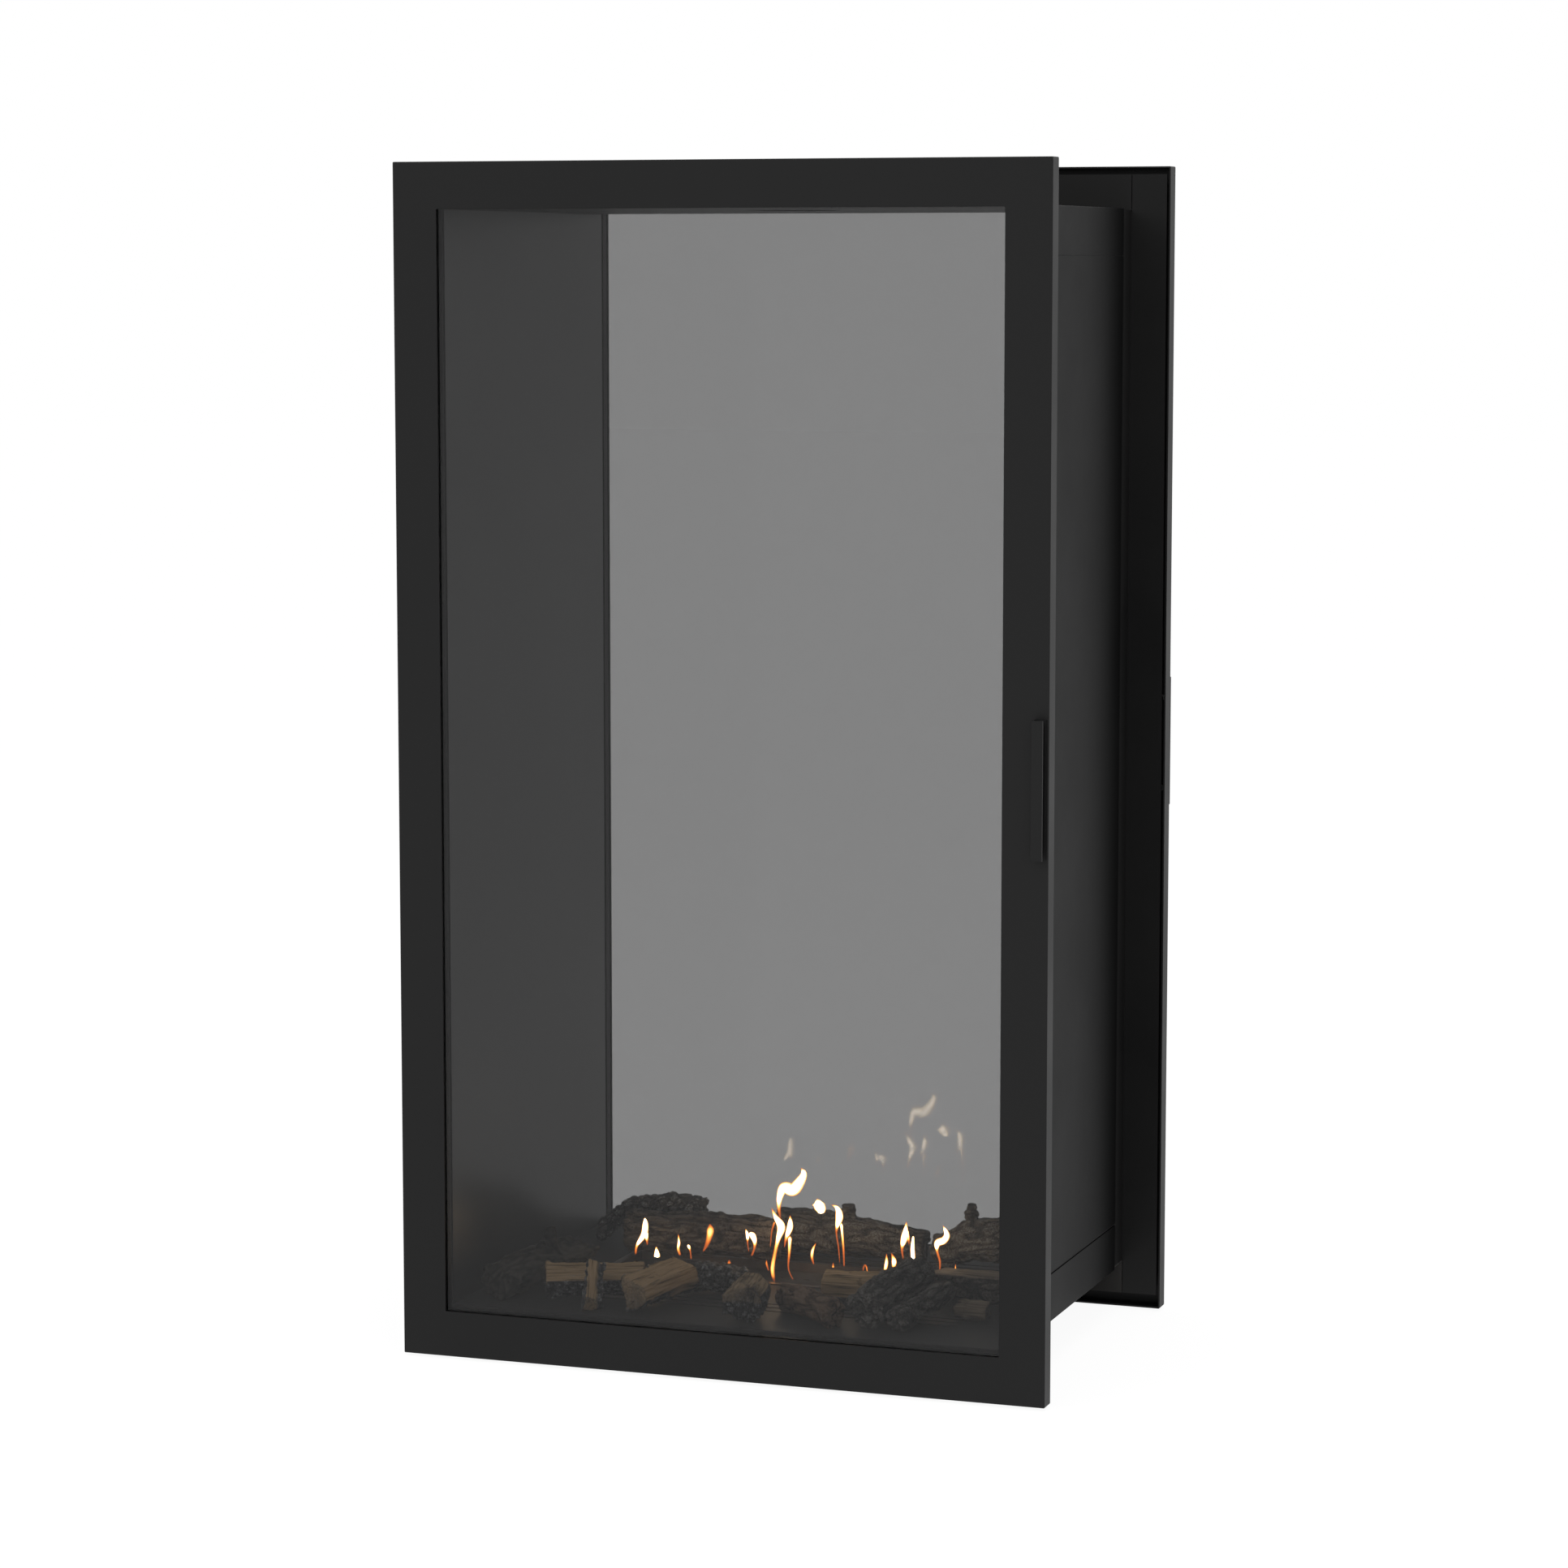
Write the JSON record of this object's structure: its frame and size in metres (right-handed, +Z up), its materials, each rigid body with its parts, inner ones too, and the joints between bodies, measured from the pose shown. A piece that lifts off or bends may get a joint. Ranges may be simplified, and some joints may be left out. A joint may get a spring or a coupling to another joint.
{
  "type": "double-sided fireplace",
  "caption": "Tall see-through fireplace with a tinted glass door in a flat black steel frame on each side, a gas burner under the firebox floor and a set of ceramic logs.",
  "frame": {"origin": "centre of the underside of the base box", "axes": "+Z up, -Y towards the front door (the side in the picture), +X towards the handles, away from the hinges"},
  "size_m": [0.846, 0.607, 1.504],
  "materials": {
    "black_steel": "satin black heat-proof paint",
    "firebox_steel": "matt black heat-proof paint",
    "side_panel": "matt dark grey",
    "tinted_glass": "polished, slightly mirrored",
    "gasket_tape": "woven glass-fibre tape",
    "rope_seal": "knitted glass-fibre rope",
    "zinc_steel": "zinc plated",
    "flue_steel": "galvanised",
    "burner_steel": "heat-stained",
    "brass": "machined",
    "electrode_ceramic": "plain",
    "magnet_black": "matt",
    "log_dark": "dark bark",
    "log_brown": "brown bark",
    "log_light": "split wood",
    "log_red": "reddish bark",
    "log_charred": "charred"
  },
  "bodies": {
    "firebox": {"base_box": "firebox_steel", "bottom_tray": "black_steel", "top_cover": "black_steel", "side_cover_left": "black_steel", "side_cover_right": "black_steel", "liner_left": "firebox_steel", "liner_right": "firebox_steel", "liner_top": "firebox_steel", "hearth_floor": "firebox_steel", "decor_panel_left": "side_panel", "decor_panel_right": "side_panel", "flue_spigot": "flue_steel", "flue_restrictor": "flue_steel", "burner_tray": "burner_steel", "burner_cover": "burner_steel", "mixer_tube": "burner_steel", "gas_injector": "brass", "gas_inlet": "brass", "pilot_bracket": "burner_steel", "pilot_burner": "burner_steel", "ignition_electrode": "electrode_ceramic", "thermocouple": "burner_steel", "hinge_leaves_fixed": "black_steel", "hinge_pins": "zinc_steel", "catch_magnets": "magnet_black", "log_left_wall": "log_dark", "log_left_split": "log_light", "log_left_cross": "log_light", "log_front_split": "log_light", "log_charred": "log_charred", "log_front_chunk": "log_light", "log_front_red": "log_red", "log_block": "log_light", "log_big_bark": "log_dark", "log_small_bark": "log_dark", "log_right_log": "log_brown", "log_right_wedge": "log_light", "log_arch": "log_charred", "log_back_main": "log_brown", "log_back_knob": "log_dark", "log_back_right": "log_dark"},
    "front_door": {"front_door_frame": "black_steel", "front_glass_gasket": "gasket_tape", "front_door_glass": "tinted_glass", "front_glass_retainer": "firebox_steel", "front_door_seal": "rope_seal", "front_glass_fixings": "zinc_steel", "front_door_handle": "black_steel", "front_handle_screws": "zinc_steel", "front_hinge_leaves": "black_steel"},
    "rear_door": {"rear_door_frame": "black_steel", "rear_glass_gasket": "gasket_tape", "rear_door_glass": "tinted_glass", "rear_glass_retainer": "firebox_steel", "rear_door_seal": "rope_seal", "rear_glass_fixings": "zinc_steel", "rear_door_handle": "black_steel", "rear_handle_screws": "zinc_steel", "rear_hinge_leaves": "black_steel"}
  },
  "joints": [
    {"name": "front_door_hinge", "type": "hinge", "parent": "firebox", "child": "front_door", "pos_m": [-0.418, -0.258, 0.754], "axis": [0, 0, -1], "range_deg": [0, 95]},
    {"name": "rear_door_hinge", "type": "hinge", "parent": "firebox", "child": "rear_door", "pos_m": [-0.418, 0.258, 0.754], "axis": [0, 0, 1], "range_deg": [0, 95]}
  ]
}
